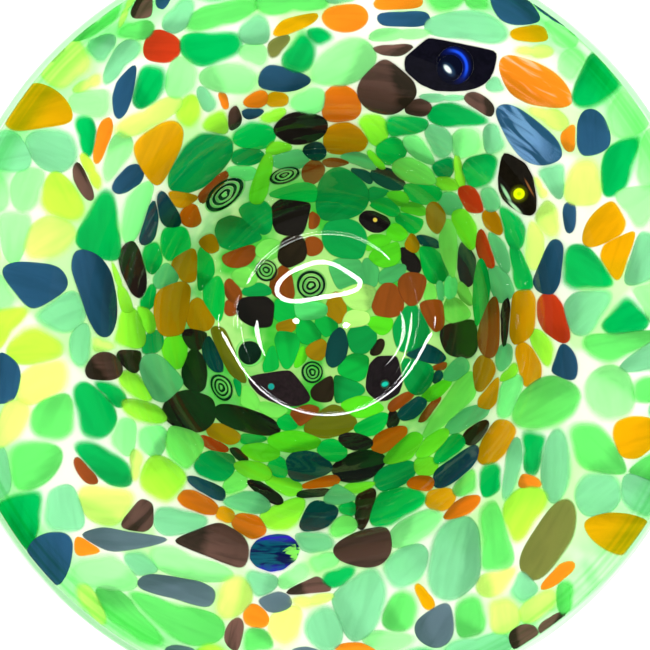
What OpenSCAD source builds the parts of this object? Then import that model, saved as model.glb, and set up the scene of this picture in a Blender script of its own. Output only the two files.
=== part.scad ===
// Free-blown art glass bowl with a mosaic of coloured chips and cane slices.
// A clear lining, the mosaic and a clear casing follow one wall curve, and a foot disc closes the bottom.
// Origin: centre of the foot's resting ring, at table height. +Z is the bowl's axis of revolution.

/* [Bowl] */
// Diameter over the lip
rim_d = 305; // [280:5:330]
// Height from the table to the top of the lip
bowl_h = 95; // [88:1:105]
// Diameter of the flat part of the inner floor
floor_d = 80; // [74:1:84]
// Height of the inner floor above the table
floor_h = 11; // [10:0.5:13]
// Angle of the flare at the lip, from the horizontal
flare_angle = 7; // [4:1:12]
// How far the curve runs level before it climbs out of the floor
heel_pull = 26; // [20:1:30]
// How far the curve runs straight before it ends in the lip
flare_pull = 90; // [84:1:94]

/* [Glass layers] */
// Thickness of the clear lining
lining_t = 1.4; // [1:0.1:2]
// Thickness of the chips and cane slices
mosaic_t = 1.4; // [1:0.1:1.8]
// Thickness of the clear casing
casing_t = 2.2; // [1.8:0.1:2.6]

/* [Foot] */
// Diameter of the applied foot disc
foot_d = 104; // [96:1:108]
// Diameter of the ground hollow under the foot
pontil_d = 46; // [30:1:60]
// Depth of the ground hollow
pontil_depth = 2; // [1:0.5:3]

/* [Mosaic] */
// Clear glass between neighbouring chips at the middle of the floor
chip_gap = 0.4; // [0.3:0.1:1.5]
// How much wider that gap is at the lip, where the glass is stretched
gap_growth = 1.1; // [0.5:0.1:3]

/* [Hidden] */

mosaic_top = lining_t;
mosaic_bottom = lining_t + mosaic_t;
wall_t = mosaic_bottom + casing_t;
lip_r = wall_t / 2;
foot_top = floor_h - wall_t;
// The chips are laid out for a bowl of this diameter, and scale with it
layout_d = 305;
layout_scale = rim_d / layout_d;
// Upright cutters reach past the lip
cutter_h = bowl_h + 10;
curve_steps = 16;
round_fn = 96;
ring_fn = 48;

// Wall curve: one Bezier in (radius, height) for the inner surface, from the floor's edge to the lip.
lip_centre = [rim_d / 2 - lip_r, bowl_h - lip_r];
floor_edge = [floor_d / 2, floor_h];
lip_inner = lip_centre + lip_r * [-sin(flare_angle), cos(flare_angle)];
heel_handle = floor_edge + [heel_pull, 0];
flare_handle = lip_inner - flare_pull * [cos(flare_angle), sin(flare_angle)];

function curve(t) = pow(1 - t, 3) * floor_edge + 3 * t * pow(1 - t, 2) * heel_handle
    + 3 * t * t * (1 - t) * flare_handle + pow(t, 3) * lip_inner;
function curve_dir(t) = pow(1 - t, 2) * (heel_handle - floor_edge)
    + 2 * t * (1 - t) * (flare_handle - heel_handle) + t * t * (lip_inner - flare_handle);
function slope(t) = let (d = curve_dir(t)) atan2(d[1], d[0]);
// Point at a given depth under the inner surface
function under(t, depth) = curve(t) + depth * [sin(slope(t)), -cos(slope(t))];
function depth_line(depth) = [for (i = [0 : curve_steps]) under(i / curve_steps, depth)];
function reversed(list) = [for (i = [len(list) - 1 : -1 : 0]) list[i]];
// Curve parameter at a given radius, by halving 24 times
function curve_at(r, low = 0, high = 1, n = 24) = let (mid = (low + high) / 2)
    n == 0 ? mid : curve(mid)[0] < r ? curve_at(r, mid, high, n - 1) : curve_at(r, low, mid, n - 1);

// A skin of glass between two depths, from the axis to the lip
module skin(top, bottom) {
    rotate_extrude($fn = round_fn)
        polygon(concat([[0, floor_h - top]], depth_line(top), reversed(depth_line(bottom)),
            [[0, floor_h - bottom]]));
}

// Places a child on the wall above a plan point of the layout, with +Z along the surface's normal
module on_wall(place) {
    x = layout_scale * place[0];
    y = layout_scale * place[1];
    r = norm([x, y]);
    t = r > floor_d / 2 ? curve_at(r) : 0;
    rotate([0, 0, atan2(y, x)])
        translate([r, 0, r > floor_d / 2 ? curve(t)[1] : floor_h])
            rotate([0, -slope(t), 0])
                children();
}

// Chips, by glass colour: [x, y, length, width, turn of the long side from +X], in plan.
emerald = [
    [-45,110,21,14,10], [-10,108,18,12,45], [-70,94,19,11,60], [-29,74,16,12,10], [-96,74,14,8,100],
    [-90,38,27,16,80], [-13,54,17,8,0], [-3,113,6,8,90], [31,79,15,9,-5], [52,83,21,11,-10],
    [62,60,14,12,-20], [26,69,13,10,10], [39,53,13,8,-10], [75,38,18,9,-60], [25,48,10,8,-20],
    [34,41,8,7,0], [-72,26,11,7,90], [-62,32,12,8,90], [-51,22,15,6,95], [-47,10,14,8,95],
    [-87,-28,12,7,-40], [-93,-38,22,14,-60], [-18,4,9,7,0], [-7,-5,10,9,0], [-16,-12,14,11,100],
    [-17,-42,7,6,0], [-23,-16,12,5,70], [-73,9,9,5,70], [44,22,14,10,-60], [63,12,22,7,-85],
    [78,21,17,6,-75], [12,-20,10,9,-30], [19,-43,14,8,30], [-1,-2,6,8,90], [-89,-56,20,15,-30],
    [-31,-49,8,4,0], [-20,-60,9,8,-30], [3,-54,10,8,0], [50,-52,14,9,35], [66,-62,14,9,60],
    [83,-52,14,9,90], [28,-75,24,10,20], [8,-77,7,6,0], [4,-102,15,8,20]];
deep_green = [
    [-32,67,14,9,30], [-52,64,30,20,50], [6,53,21,19,0], [9,35,15,13,0], [-29,44,13,12,30],
    [-38,36,18,13,30], [48,62,9,9,-40], [21,53,7,6,0], [-71,-9,10,7,90], [-29,13,8,6,0],
    [-37,-27,6,3,-60], [36,-3,17,12,90], [14,-7,10,9,0], [8,-28,12,8,0], [38,-23,14,13,30],
    [-46,-59,17,14,-20], [28,-62,18,9,20]];
grass_green = [
    [-90,119,20,11,35], [-77,116,13,10,45], [-43,121,28,13,15], [-14,126,22,9,0], [60,127,12,6,-20],
    [36,61,18,9,-30], [-32,-32,12,6,-60], [-23,-37,10,6,-20], [-24,29,8,7,0], [-33,18,9,7,0],
    [53,4,11,9,90], [88,-33,24,20,60], [52,-33,28,8,45], [51,30,20,7,-80], [57,11,9,5,-70],
    [43,12,7,6,0], [-58,-52,16,12,-30], [-37,-66,9,8,60], [-58,-119,36,13,-25], [-79,-117,28,10,-40],
    [-28,-128,11,9,90], [57,-66,10,8,40], [67,-88,23,12,90], [57,-117,14,13,0], [30,-115,14,11,60],
    [6,-83,12,9,30], [95,-109,10,6,80]];
lime = [
    [-55,84,13,10,60], [-45,80,10,8,20], [-22,83,11,5,10], [-94,60,11,6,110], [-27,58,19,8,75],
    [-20,71,10,5,0], [19,78,11,11,0], [53,60,12,5,-70], [49,56,9,6,-30], [20,66,7,4,-40],
    [29,51,8,6,0], [36,46,8,5,-20], [-83,13,17,5,110], [-80,-3,17,12,90], [-74,1,12,6,110],
    [-63,-13,14,10,90], [-78,-27,15,8,-40], [-74,-37,16,8,-35], [-11,-15,6,5,60], [22,-1,7,6,0],
    [88,-11,13,9,-60], [15,-36,12,8,-20], [29,37,8,6,0], [25,27,12,10,0], [21,33,9,6,0],
    [57,38,16,6,-60], [75,-21,9,4,60], [45,-29,12,6,40], [-66,-64,21,13,-40], [-27,-54,15,8,-15],
    [-15,-50,17,8,0], [-30,-61,15,7,-15], [-18,-67,13,6,-20], [-17,-79,16,11,10], [31,-54,15,7,40],
    [44,-51,16,6,40], [40,-59,9,8,20], [79,-75,24,13,60], [13,-68,12,4,10]];
yellow_green = [
    [-80,123,12,3,60], [-71,82,25,11,30], [-94,95,9,7,30], [87,82,15,6,-30], [82,107,10,4,0],
    [86,53,8,4,-60], [89,40,12,8,-70], [-91,-9,8,5,-30], [83,30,17,9,-80], [14,10,12,9,0],
    [12,1,8,6,0], [-76,-57,10,6,90], [-88,-72,21,13,-15], [-38,-110,14,14,0], [-17,-121,14,12,90],
    [-7,-112,14,5,0], [-94,-112,14,7,-70], [85,-113,14,9,30], [68,-103,13,9,30], [69,-116,12,11,0]];
mint = [
    [-29,106,10,10,0], [-58,96,15,12,80], [-38,97,22,14,20], [-93,86,13,12,0], [-8,89,14,9,0],
    [-84,65,18,11,80], [-78,44,22,12,75], [-34,61,12,7,0], [30,114,17,6,5], [91,115,14,8,-35],
    [6,103,24,17,0], [37,71,15,8,-35], [57,72,13,11,0], [97,101,10,8,90], [-83,-47,13,12,90],
    [-71,-48,12,12,80], [-7,5,11,7,0], [51,14,8,6,90], [74,-28,18,9,70], [-57,-97,34,11,-12],
    [-89,-100,22,13,-5], [-12,-101,12,9,30], [-2,-97,12,8,0], [36,-84,23,11,35], [26,-128,18,8,0]];
sea_green = [
    [-90,108,12,11,60], [-82,104,20,9,60], [-59,122,16,12,60], [-29,116,12,10,80], [-48,89,9,8,90],
    [-15,66,13,8,0], [5,129,9,5,0], [56,117,29,12,-5], [47,89,17,4,0], [45,72,13,11,-50],
    [14,66,13,5,-20], [51,49,10,8,-60], [91,57,13,10,-40], [67,73,9,9,-60], [68,94,6,5,0],
    [66,50,10,7,-70], [-66,18,8,8,0], [-68,-22,22,15,110], [-98,-10,14,8,90], [70,28,15,6,-65],
    [71,15,15,7,-75], [72,-15,8,6,70], [58,-40,20,7,35], [27,20,9,6,30], [18,20,9,6,80],
    [8,20,10,9,0], [47,13,7,4,85], [52,-20,10,7,30], [-32,-73,17,9,0], [-58,-80,22,11,-5],
    [-74,-96,12,8,0], [-27,-104,10,9,0], [-1,-122,18,15,90], [-4,-89,13,9,0], [74,-59,21,8,80],
    [91,-57,26,12,80], [78,-106,9,9,0], [50,-95,32,20,70], [13,-113,25,18,50], [32,-98,19,14,50],
    [6,-71,12,7,10], [60,-129,24,8,10]];
olive = [
    [-19,110,11,5,40], [-40,-15,19,8,-60], [0,-42,20,10,0], [88,-89,31,13,65]];
ochre = [
    [8,74,19,12,-5], [-58,23,10,10,80], [-64,5,22,13,90], [-53,2,12,9,60], [-48,32,7,5,20],
    [-16,-2,6,5,10], [-4,-12,9,8,60], [35,32,6,5,90], [45,43,10,6,-70], [68,40,10,6,-60],
    [4,5,9,7,-80], [64,-22,15,7,70], [-43,-46,12,6,-20]];
amber = [
    [-13,118,16,6,30], [-20,89,9,6,5], [-67,70,25,18,65], [-59,49,9,8,10], [81,115,15,7,0],
    [79,2,21,11,80], [66,-31,13,7,60], [81,-18,19,10,-80], [68,-51,18,12,60], [-41,-78,9,5,-20],
    [46,-72,11,9,0], [39,-110,11,5,-50]];
orange = [
    [-42,89,7,3,110], [-28,89,9,6,20], [-90,71,17,7,75], [-56,44,8,7,110], [28,127,15,7,0],
    [7,121,14,9,0], [5,88,15,13,20], [82,93,29,16,-30], [97,73,8,6,90], [-52,-73,19,9,-25],
    [-32,-82,15,7,-25], [-2,-66,13,5,15], [-96,-90,9,6,-20], [-28,-118,11,9,-20], [25,-49,13,8,40],
    [39,-66,9,6,0], [54,-75,14,6,35], [82,-65,10,5,-15], [91,-101,14,5,35], [12,-131,18,5,-5]];
red = [
    [-65,109,14,12,80], [91,2,18,11,-70], [65,29,14,6,-60], [58,50,12,7,-40], [-46,-51,10,4,-30]];
rust = [
    [-46,55,12,6,50], [-6,61,9,8,40], [-6,42,5,4,90], [3,65,8,3,0], [-39,12,8,5,100], [-40,6,5,4,90],
    [-36,27,10,7,10], [-19,16,14,8,-50], [-6,31,6,5,0], [-9,-39,10,6,0], [25,8,13,11,30],
    [36,14,13,11,60], [44,3,10,10,0], [67,-3,24,8,90], [48,-19,8,3,10], [31,-33,10,5,40],
    [43,-36,10,4,45], [-96,-60,11,5,-50]];
brown = [
    [-74,123,13,7,55], [-37,82,8,5,60], [-97,55,16,6,100], [27,109,15,5,0], [24,93,25,18,-10],
    [37,86,12,6,10], [60,87,12,6,-30], [-80,-15,11,7,-50], [-89,-19,13,11,-30], [-14,29,13,8,20],
    [-1,-28,9,7,0], [21,-11,5,3,60], [60,-46,11,7,50], [-75,-79,12,11,80], [-45,-89,28,13,-20],
    [-37,-125,14,6,70], [-6,-106,17,6,10], [89,-120,11,6,35], [78,-125,12,7,20], [15,-91,22,13,10],
    [15,-76,15,8,80]];
black = [
    [-11,78,21,13,-5], [-15,44,16,12,-10], [-78,20,22,11,90], [-55,-7,9,7,-40], [-55,-21,15,9,100],
    [-56,-36,21,14,-30], [-33,-41,26,10,-15], [-28,5,13,10,-10], [35,25,13,6,-50], [73,1,17,4,85],
    [55,-6,14,11,-80], [27,-41,7,4,70], [-36,-55,8,3,-30], [-5,-70,12,3,5], [-25,-70,15,6,-35],
    [13,-60,22,12,10], [12,-50,12,7,0]];
navy = [
    [-64,127,8,5,0], [-81,91,19,8,75], [-18,97,18,10,-5], [-30,84,9,4,5], [-80,57,14,10,50],
    [-72,39,17,5,80], [-64,45,12,7,110], [-5,70,8,7,-20], [31,120,17,7,-5], [74,123,24,12,-30],
    [89,121,18,4,-40], [80,73,27,14,-45], [97,42,10,4,90], [-92,12,35,15,100], [57,22,18,7,-70],
    [90,21,19,11,90], [95,-17,13,8,100], [-49,-67,14,7,-35], [52,-59,24,9,42]];
petrol = [
    [25,58,13,7,-25], [14,61,9,4,-30], [-47,-15,14,6,-60], [42,33,8,3,-20], [4,-11,13,8,60],
    [41,-14,12,6,-20], [46,-23,7,3,60], [36,-36,13,6,20], [-8,-60,20,11,-5], [-3,-80,17,10,15]];
slate = [
    [-81,-87,27,8,0], [-58,-107,27,10,-10], [-20,-113,12,8,0], [-58,-131,10,4,0], [-7,-132,12,4,0],
    [44,-121,18,13,60]];
colour_lists = [emerald, deep_green, grass_green, lime, yellow_green, mint, sea_green, olive, ochre,
    amber, orange, red, rust, brown, black, navy, petrol, slate];

// Cane slices: [x, y, diameter in the wall's surface]
ring_slices = [[-41, 51, 20], [-17, 58.5, 14], [-25, 21, 10], [-6.5, 15, 13], [-43, -27, 13], [-6, -21, 10]];
lens_slice = [-32, -13, 12];
// Sliced canes with an eye: an outline as for a chip, and the eye's plan place and diameter
blue_eye = [47, 102, 37, 20, -5];
blue_eye_place = [51, 102, 15];
yellow_eye = [77, 54, 24, 17, -60];
yellow_eye_place = [77, 51, 5.5];
turquoise_eye = [24, -24, 19, 15, -30];
turquoise_eye_place = [24, -26, 3.5];
small_eye = [-20, -27, 22, 15, -15];
small_eye_place = [-23, -27, 2.6];
gold_eye = [20, 41, 14, 10, -10];
gold_eye_place = [20, 42, 1.8];
cobalt = [-21, -94, 21, 16, 0];
eyes = [blue_eye, yellow_eye, turquoise_eye, small_eye, gold_eye, cobalt];

// Outline of a round slice in plan, as a site: it is foreshortened where the wall is steep
function slice_site(s) = let (r = layout_scale * norm([s[0], s[1]]))
    let (squeeze = r > floor_d / 2 ? cos(slope(curve_at(r))) : 1)
    [s[0], s[1], s[2] + 1, s[2] * squeeze + 2, atan2(s[1], s[0]) + 90];
slice_sites = [for (s = concat(ring_slices, [lens_slice])) slice_site(s)];
// Sites carry their colour's index as a sixth number, and -1 stands for a cane slice
chosen_sites = concat(
    [for (c = [0 : len(colour_lists) - 1]) for (s = colour_lists[c]) concat(s, [c])],
    [for (s = concat(slice_sites, eyes)) concat(s, [-1])]);

// Repeatable scatter between 0 and 1 for place i and use k; the three numbers only have to be uneven
function scatter(i, k) = let (s = sin(i * 127.1 + k * 311.7) * 4375.85) s - floor(s);
// Loose rings of candidate chips, for the places that the chosen chips leave open
ring_radii = [6, 16, 26, 36, 45, 54, 63, 72, 82, 93, 105, 118, 131, 143];
fill_colours = [0, 2, 3, 5, 6, 0, 5, 6, 2, 4, 3, 10, 15, 0, 5, 6, 13, 2, 9];
// Chips are small on the floor and grow towards the lip
function fill_size(r) = 9 + r / 14;
// Inside this radius chips lie round the bowl, and outside it they run out towards the lip
drawn_out_r = 100;
function fill_turn(r, a, chance) = a + (r > drawn_out_r ? 40 * chance : 90);
fill_candidates = [for (k = [0 : len(ring_radii) - 1])
    let (r = ring_radii[k], size = fill_size(r), count = floor(2 * PI * r / size))
    for (i = [0 : count - 1])
        let (id = 100 * k + i, a = (i + 0.6 * scatter(id, 1)) * 360 / count)
        let (place_r = r + 3 * scatter(id, 2) - 1.5)
        [place_r * cos(a), place_r * sin(a),
            size * (1.05 + 0.3 * scatter(id, 3)), size * (0.8 + 0.2 * scatter(id, 4)),
            fill_turn(r, a, scatter(id, 5)), fill_colours[floor(scatter(id, 6) * len(fill_colours))]]];

// Half length of a site's outline towards a direction
function extent(s, dir) = norm([s[2] * cos(dir - s[4]), s[3] * sin(dir - s[4])]) / 2;
function covers(s, p, margin) = let (d = [p[0] - s[0], p[1] - s[1]])
    norm(d) < (s[2] / 2 + margin) && norm(d) < extent(s, atan2(d[1], d[0])) + margin;
// A candidate is kept where every chosen outline stays this far from its middle
fill_margin = 4.2;
function is_open(p) = len([for (s = chosen_sites) if (covers(s, p, fill_margin)) 1]) == 0;
sites = concat(chosen_sites, [for (p = fill_candidates) if (is_open(p)) p]);

function lip_share(s) = norm([s[0], s[1]]) / (layout_d / 2);
function gap_at(s) = chip_gap + gap_growth * pow(lip_share(s), 2);
// Keeps the side of an outline where n * point is below d
function clipped(outline, n, d) = [for (i = [0 : len(outline) - 1])
    let (a = outline[i], b = outline[(i + 1) % len(outline)], da = n * a - d, db = n * b - d)
    for (p = concat(da <= 0 ? [a] : [], da * db < 0 ? [a + (b - a) * da / (da - db)] : [])) p];
// Second moments of a site's ellipse, as [xx, xy, yy]
function moments(s) = let (a = s[2] * s[2] / 4, b = s[3] * s[3] / 4, c = cos(s[4]), v = sin(s[4]))
    [a * c * c + b * v * v, (a - b) * c * v, a * v * v + b * c * c];
// Normal of the line that best parts two ellipses, from s to o
function parting_normal(s, o) = let (m = moments(s) + moments(o), d = [o[0] - s[0], o[1] - s[1]])
    let (n = [m[2] * d[0] - m[1] * d[1], m[0] * d[1] - m[1] * d[0]]) n / norm(n);
// Trims an outline against the neighbours from number k on, by the line that parts each pair
function trimmed(outline, s, near, k = 0) = k == len(near) || len(outline) < 3 ? outline :
    let (o = near[k], n = parting_normal(s, o), dir = atan2(n[1], n[0]), own = extent(s, dir))
    let (share = n * [o[0] - s[0], o[1] - s[1]] * own / (own + extent(o, dir)))
    trimmed(clipped(outline, n, n * [s[0], s[1]] + share - gap_at(s) / 2), s, near, k + 1);
// Drops corners that stand closer together than a short edge
short_edge = 1.2;
function tidied(outline) = [for (i = [0 : len(outline) - 1])
    if (norm(outline[i] - outline[(i + 1) % len(outline)]) > short_edge) outline[i]];
// Cuts each corner off at this share of its edges, because the chips have melted round
corner_cut = 0.25;
function rounded(outline) = [for (i = [0 : len(outline) - 1])
    let (a = outline[i], step = corner_cut * (outline[(i + 1) % len(outline)] - a))
    for (p = [a + step, a + step / corner_cut - step]) p];
outline_corners = 12;
// Outlines start larger than the chip and are trimmed back, most of all on the floor, where chips lie close
overgrow_floor = 1.6;
overgrow_lip = 1.3;
function overgrow(s) = overgrow_floor + (overgrow_lip - overgrow_floor) * min(1, 1.6 * lip_share(s));
// Sites further away than this can't touch each other's outlines
function reach(s, o) = 0.8 * (s[2] + o[2]) + 3;
function chip_outline(s) =
    let (near = [for (o = sites) let (d = norm([o[0] - s[0], o[1] - s[1]])) if (d > 0 && d < reach(s, o)) o])
    let (grown = overgrow(s) / 2, start = [for (k = [0 : outline_corners - 1])
        let (a = k * 360 / outline_corners, u = grown * s[2] * cos(a), v = grown * s[3] * sin(a))
        [s[0] + u * cos(s[4]) - v * sin(s[4]), s[1] + u * sin(s[4]) + v * cos(s[4])]])
    rounded(tidied(trimmed(start, s, near)));
// A trimmed outline smaller than this many square mm is left out
smallest_chip = 7;
function sum(list, i = 0) = i < len(list) ? list[i] + sum(list, i + 1) : 0;
function area(p) = abs(sum([for (i = [0 : len(p) - 1])
    let (q = p[(i + 1) % len(p)]) (p[i][0] * q[1] - p[i][1] * q[0]) / 2]));

module mosaic_layer() {
    skin(mosaic_top, mosaic_bottom);
}

// An upright prism through the wall on a plan outline
module prism(outline) {
    linear_extrude(cutter_h)
        polygon(layout_scale * outline);
}

// All chips of one colour, cut from the mosaic layer
module chips_of(colour_index) {
    outlines = [for (s = sites) if (s[5] == colour_index) chip_outline(s)];
    intersection() {
        mosaic_layer();
        for (p = outlines) if (len(p) > 3 && area(p) > smallest_chip) prism(p);
    }
}

// Rings of a round cane slice between shares of its radius
ring_shares = [0, 0.16, 0.34, 0.48, 0.62, 0.76, 0.9, 1];
// How far a slice's cutter reaches above and below the wall's inner surface
plug_top = 4;
plug_depth = 9;

// One round cutter about a slice's middle, drawn out by a little at both ends where asked
module slice_core(slice, share, extra = 0) {
    core_d = layout_scale * slice[2] * share;
    translate([0, 0, -plug_depth - extra])
        cylinder(h = plug_depth + plug_top + 2 * extra, d = core_d, $fn = ring_fn);
}

module slice_rings(slice, first) {
    intersection() {
        mosaic_layer();
        on_wall(slice)
            for (k = [first : 2 : len(ring_shares) - 2])
                difference() {
                    slice_core(slice, ring_shares[k + 1]);
                    if (k > 0)
                        slice_core(slice, ring_shares[k], 1);
                }
    }
}

module plug(place, share = 1) {
    translate(layout_scale * [place[0], place[1], 0])
        cylinder(h = cutter_h, d = layout_scale * place[2] * share, $fn = ring_fn);
}

// A sliced cane with a round eye cut out of its middle
module eye_slice(outline_site, place) {
    difference() {
        intersection() {
            mosaic_layer();
            prism(chip_outline(concat(outline_site, [-1])));
        }
        plug(place);
    }
}

module eye_core(place) {
    intersection() {
        mosaic_layer();
        plug(place);
    }
}

// Clear outer glass, with the lip rolled over the ends of the inner layers
lip_steps = 12;
module casing() {
    color([0.92, 0.97, 0.9, 0.4])
        rotate_extrude($fn = round_fn)
            polygon(concat([[0, floor_h - mosaic_bottom]], depth_line(mosaic_bottom), [lip_inner],
                [for (i = [1 : lip_steps - 1])
                    let (a = 90 + flare_angle - 180 * i / lip_steps) lip_centre + lip_r * [cos(a), sin(a)]],
                reversed(depth_line(wall_t)), [[0, foot_top]]));
}

module lining() {
    color([0.92, 0.98, 0.92, 0.3])
        skin(0, mosaic_top);
}

// Applied disc under the casing's floor, with a rounded edge and a ground hollow
foot_round = 2.5;
module foot_disc() {
    hollow_r = (pow(pontil_d / 2, 2) + pow(pontil_depth, 2)) / (2 * pontil_depth);
    edge_centre = [foot_d / 2 - foot_round, foot_round];
    color([0.9, 0.96, 0.9, 0.5])
        difference() {
            rotate_extrude($fn = round_fn)
                polygon(concat([[0, 0]],
                    [for (a = [-90 : 15 : 0]) edge_centre + foot_round * [cos(a), sin(a)]],
                    [[foot_d / 2, foot_top], [0, foot_top]]));
            translate([0, 0, pontil_depth - hollow_r])
                sphere(r = hollow_r, $fn = 2 * round_fn);
        }
}

module emerald_chips() { color([0.0, 0.76, 0.3]) chips_of(0); }
module deep_green_chips() { color([0.0, 0.5, 0.28]) chips_of(1); }
module grass_green_chips() { color([0.35, 0.88, 0.4]) chips_of(2); }
module lime_chips() { color([0.58, 1.0, 0.16]) chips_of(3); }
module yellow_green_chips() { color([0.88, 1.0, 0.37]) chips_of(4); }
module mint_chips() { color([0.6, 1.0, 0.63]) chips_of(5); }
module sea_green_chips() { color([0.5, 0.86, 0.67]) chips_of(6); }
module olive_chips() { color([0.5, 0.45, 0.05]) chips_of(7); }
module ochre_chips() { color([0.7, 0.42, 0.0]) chips_of(8); }
module amber_chips() { color([0.84, 0.64, 0.04]) chips_of(9); }
module orange_chips() { color([1.0, 0.5, 0.0]) chips_of(10); }
module red_chips() { color([0.82, 0.2, 0.08]) chips_of(11); }
module rust_chips() { color([0.6, 0.24, 0.05]) chips_of(12); }
module brown_chips() { color([0.3, 0.18, 0.15]) chips_of(13); }
module black_chips() { color([0.1, 0.08, 0.08]) chips_of(14); }
module navy_chips() { color([0.1, 0.22, 0.38]) chips_of(15); }
module petrol_chips() { color([0.0, 0.2, 0.22]) chips_of(16); }
module slate_chips() { color([0.36, 0.45, 0.5]) chips_of(17); }

module ring_murrina_dark(i) { color([0.02, 0.14, 0.08]) slice_rings(ring_slices[i], 1); }
module ring_murrina_green(i) { color([0.35, 0.9, 0.4]) slice_rings(ring_slices[i], 0); }

// The lens slice is one dark core in a thin pale ring
lens_core_share = 0.84;
module lens_murrina_dark() {
    color([0.05, 0.16, 0.14])
        intersection() {
            mosaic_layer();
            on_wall(lens_slice)
                slice_core(lens_slice, lens_core_share);
        }
}

module lens_murrina_ring() {
    color([0.3, 0.8, 0.45])
        intersection() {
            mosaic_layer();
            on_wall(lens_slice)
                difference() {
                    slice_core(lens_slice, 1);
                    slice_core(lens_slice, lens_core_share, 1);
                }
        }
}

module blue_eye_slice() { color([0.06, 0.06, 0.1]) eye_slice(blue_eye, blue_eye_place); }
// The crescent is the eye less a smaller disc set off towards the core
core_shift = [-2, -1];
core_share = 0.72;
module blue_eye_core() {
    color([0.05, 0.08, 0.14])
        intersection() {
            eye_core(blue_eye_place);
            translate(layout_scale * core_shift)
                plug(blue_eye_place, core_share);
        }
}

module blue_eye_crescent() {
    color([0.1, 0.3, 0.9])
        difference() {
            eye_core(blue_eye_place);
            translate(layout_scale * core_shift)
                plug(blue_eye_place, core_share);
        }
}

module yellow_eye_slice() { color([0.08, 0.07, 0.05]) eye_slice(yellow_eye, yellow_eye_place); }
module yellow_eye_core() { color([0.85, 0.95, 0.05]) eye_core(yellow_eye_place); }
module turquoise_eye_slice() { color([0.1, 0.08, 0.09]) eye_slice(turquoise_eye, turquoise_eye_place); }
module turquoise_eye_core() { color([0.1, 0.75, 0.65]) eye_core(turquoise_eye_place); }
module small_eye_slice() { color([0.14, 0.1, 0.1]) eye_slice(small_eye, small_eye_place); }
module small_eye_core() { color([0.1, 0.6, 0.6]) eye_core(small_eye_place); }
module gold_eye_slice() { color([0.08, 0.07, 0.07]) eye_slice(gold_eye, gold_eye_place); }
module gold_eye_core() { color([0.9, 0.8, 0.3]) eye_core(gold_eye_place); }

// The cobalt slice carries a pale green streak, pointed towards +X
streak = [[-21, -95], [-17, -91.5], [-14, -92], [-12.5, -89.5], [-11.6, -94.5], [-13, -98], [-16, -97]];
module cobalt_slice() {
    color([0.08, 0.12, 0.4])
        difference() {
            intersection() {
                mosaic_layer();
                prism(chip_outline(concat(cobalt, [-1])));
            }
            prism(streak);
        }
}

module cobalt_streak() {
    color([0.5, 0.95, 0.45])
        intersection() {
            mosaic_layer();
            prism(chip_outline(concat(cobalt, [-1])));
            prism(streak);
        }
}

casing();
lining();
foot_disc();
emerald_chips();
deep_green_chips();
grass_green_chips();
lime_chips();
yellow_green_chips();
mint_chips();
sea_green_chips();
olive_chips();
ochre_chips();
amber_chips();
orange_chips();
red_chips();
rust_chips();
brown_chips();
black_chips();
navy_chips();
petrol_chips();
slate_chips();
ring_murrina_dark(0);  // ring_murrina_1_dark
ring_murrina_green(0);  // ring_murrina_1_green
ring_murrina_dark(1);  // ring_murrina_2_dark
ring_murrina_green(1);  // ring_murrina_2_green
ring_murrina_dark(2);  // ring_murrina_3_dark
ring_murrina_green(2);  // ring_murrina_3_green
ring_murrina_dark(3);  // ring_murrina_4_dark
ring_murrina_green(3);  // ring_murrina_4_green
ring_murrina_dark(4);  // ring_murrina_5_dark
ring_murrina_green(4);  // ring_murrina_5_green
ring_murrina_dark(5);  // ring_murrina_6_dark
ring_murrina_green(5);  // ring_murrina_6_green
lens_murrina_dark();
lens_murrina_ring();
blue_eye_slice();
blue_eye_crescent();
blue_eye_core();
yellow_eye_slice();
yellow_eye_core();
turquoise_eye_slice();
turquoise_eye_core();
small_eye_slice();
small_eye_core();
gold_eye_slice();
gold_eye_core();
cobalt_slice();
cobalt_streak();
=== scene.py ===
import math
import random

import bpy
import numpy as np
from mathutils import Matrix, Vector


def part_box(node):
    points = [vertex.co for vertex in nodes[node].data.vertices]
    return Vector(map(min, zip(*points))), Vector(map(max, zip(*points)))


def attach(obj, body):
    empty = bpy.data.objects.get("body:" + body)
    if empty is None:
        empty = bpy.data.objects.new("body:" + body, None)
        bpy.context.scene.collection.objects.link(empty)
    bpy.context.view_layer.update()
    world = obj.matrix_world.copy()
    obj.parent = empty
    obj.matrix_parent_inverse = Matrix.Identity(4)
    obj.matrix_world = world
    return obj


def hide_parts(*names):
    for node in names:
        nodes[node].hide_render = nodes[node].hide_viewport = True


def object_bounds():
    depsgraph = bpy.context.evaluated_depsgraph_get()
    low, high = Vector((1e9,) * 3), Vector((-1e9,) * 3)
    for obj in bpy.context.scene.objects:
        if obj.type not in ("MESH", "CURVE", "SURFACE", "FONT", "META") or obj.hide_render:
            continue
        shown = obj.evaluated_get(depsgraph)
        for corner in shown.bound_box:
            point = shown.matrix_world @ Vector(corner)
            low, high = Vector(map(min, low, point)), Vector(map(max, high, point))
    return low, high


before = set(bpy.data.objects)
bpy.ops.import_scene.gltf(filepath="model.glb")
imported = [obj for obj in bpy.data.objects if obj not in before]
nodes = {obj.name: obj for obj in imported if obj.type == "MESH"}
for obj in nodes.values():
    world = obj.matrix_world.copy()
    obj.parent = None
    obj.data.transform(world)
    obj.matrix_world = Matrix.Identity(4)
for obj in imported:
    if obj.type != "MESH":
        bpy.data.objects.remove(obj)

cad_low, cad_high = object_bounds()
MM = 0.001
TAU = 2 * math.pi


# ---------------------------------------------------------------- reading the frame

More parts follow.
